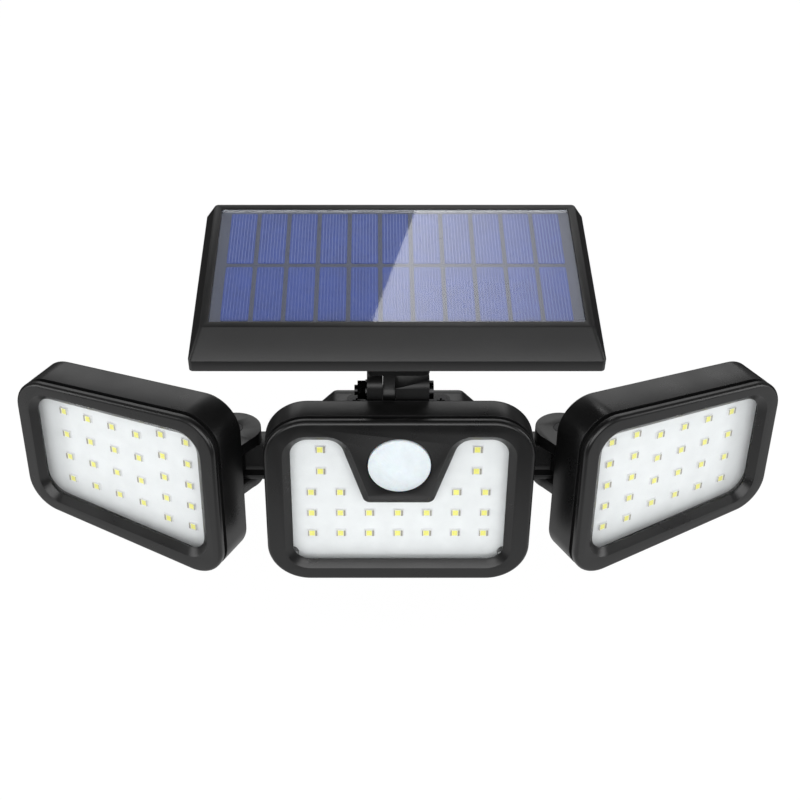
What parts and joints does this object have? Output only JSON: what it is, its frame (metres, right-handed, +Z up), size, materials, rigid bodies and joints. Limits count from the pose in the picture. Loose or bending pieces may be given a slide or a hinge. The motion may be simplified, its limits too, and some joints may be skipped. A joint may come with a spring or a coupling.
{
  "type": "motion sensor security light",
  "caption": "Wall-mounted solar security light: a lamp with a motion sensor, swinging side lamps on upright hinge pins, and a tilting solar panel above.",
  "frame": {"origin": "middle of the wall bracket's back face, on the wall", "axes": "+Z up, -Y out of the wall towards the viewer, +X to the viewer's right"},
  "size_m": [0.304, 0.0873, 0.1343],
  "materials": {
    "black_plastic": "satin injection-moulded ABS, lightly grained",
    "panel_plastic": "satin injection-moulded ABS, fine grain",
    "hinge_plastic": "satin glass-filled plastic",
    "bracket_plastic": "satin glass-filled plastic",
    "seal_rubber": "matte silicone rubber",
    "lens_clear": "clear polished polycarbonate",
    "board_white": "white solder-resist board",
    "board_green": "green solder-resist board",
    "led_phosphor": "yellow phosphor in a white package",
    "dome_milky": "milky translucent polyethylene, faceted inside",
    "sensor_metal": "plated steel can",
    "chip_black": "moulded epoxy",
    "screw_steel": "zinc-plated steel",
    "contact_steel": "nickel-plated spring steel",
    "cell_wrap": "shrink-wrapped cell",
    "button_rubber": "matte silicone rubber",
    "solar_silicon": "blue-grey silicon cells with pale fingers",
    "solar_glass": "clear laminate",
    "solar_backing": "dark laminate"
  },
  "bodies": {
    "base": {"middle_bezel": "black_plastic", "middle_gasket": "seal_rubber", "middle_lens": "lens_clear", "middle_led_board": "board_white", "middle_leds": "led_phosphor", "middle_shell": "black_plastic", "middle_bezel_screws": "screw_steel", "sensor_dome": "dome_milky", "sensor_dome_ring": "black_plastic", "motion_sensor": "sensor_metal", "control_board": "board_green", "control_parts": "chip_black", "battery_cell": "cell_wrap", "battery_clips": "contact_steel", "mode_switch": "chip_black", "switch_board": "board_green", "rear_cover": "black_plastic", "rear_cover_screws": "screw_steel", "wall_bracket": "bracket_plastic", "bracket_screws": "screw_steel", "panel_fork": "hinge_plastic", "fork_screws": "screw_steel", "tilt_bolt": "screw_steel", "tilt_nut": "screw_steel", "tilt_washer": "screw_steel"},
    "left_head": {"left_bezel": "black_plastic", "left_gasket": "seal_rubber", "left_lens": "lens_clear", "left_led_board": "board_white", "left_leds": "led_phosphor", "left_shell": "black_plastic", "left_bezel_screws": "screw_steel", "left_hinge_pin": "screw_steel", "left_hinge_nut": "screw_steel"},
    "right_head": {"right_bezel": "black_plastic", "right_gasket": "seal_rubber", "right_lens": "lens_clear", "right_led_board": "board_white", "right_leds": "led_phosphor", "right_shell": "black_plastic", "right_bezel_screws": "screw_steel", "right_hinge_pin": "screw_steel", "right_hinge_nut": "screw_steel"},
    "panel": {"panel_tray": "panel_plastic", "panel_base": "panel_plastic", "panel_base_screws": "screw_steel", "solar_glass": "solar_glass", "solar_cells": "solar_silicon", "solar_backing": "solar_backing", "panel_neck": "hinge_plastic", "neck_screws": "screw_steel"},
    "button": {"mode_button": "button_rubber"}
  },
  "joints": [
    {"name": "left_swing", "type": "hinge", "parent": "base", "child": "left_head", "pos_m": [-0.0644, -0.0437, 0.015], "axis": [0, 0, -1], "range_deg": [-27.6, 47.4]},
    {"name": "right_swing", "type": "hinge", "parent": "base", "child": "right_head", "pos_m": [0.0644, -0.0437, 0.015], "axis": [0, 0, 1], "range_deg": [-27.6, 47.4]},
    {"name": "panel_tilt", "type": "hinge", "parent": "base", "child": "panel", "pos_m": [0, -0.048, 0.0516], "axis": [1, 0, 0], "range_deg": [-5, 45]},
    {"name": "mode_press", "type": "slide", "parent": "base", "child": "button", "axis": [0, 0, 1], "range_m": [0, 0.0008], "stiffness_N_per_m": 800}
  ]
}
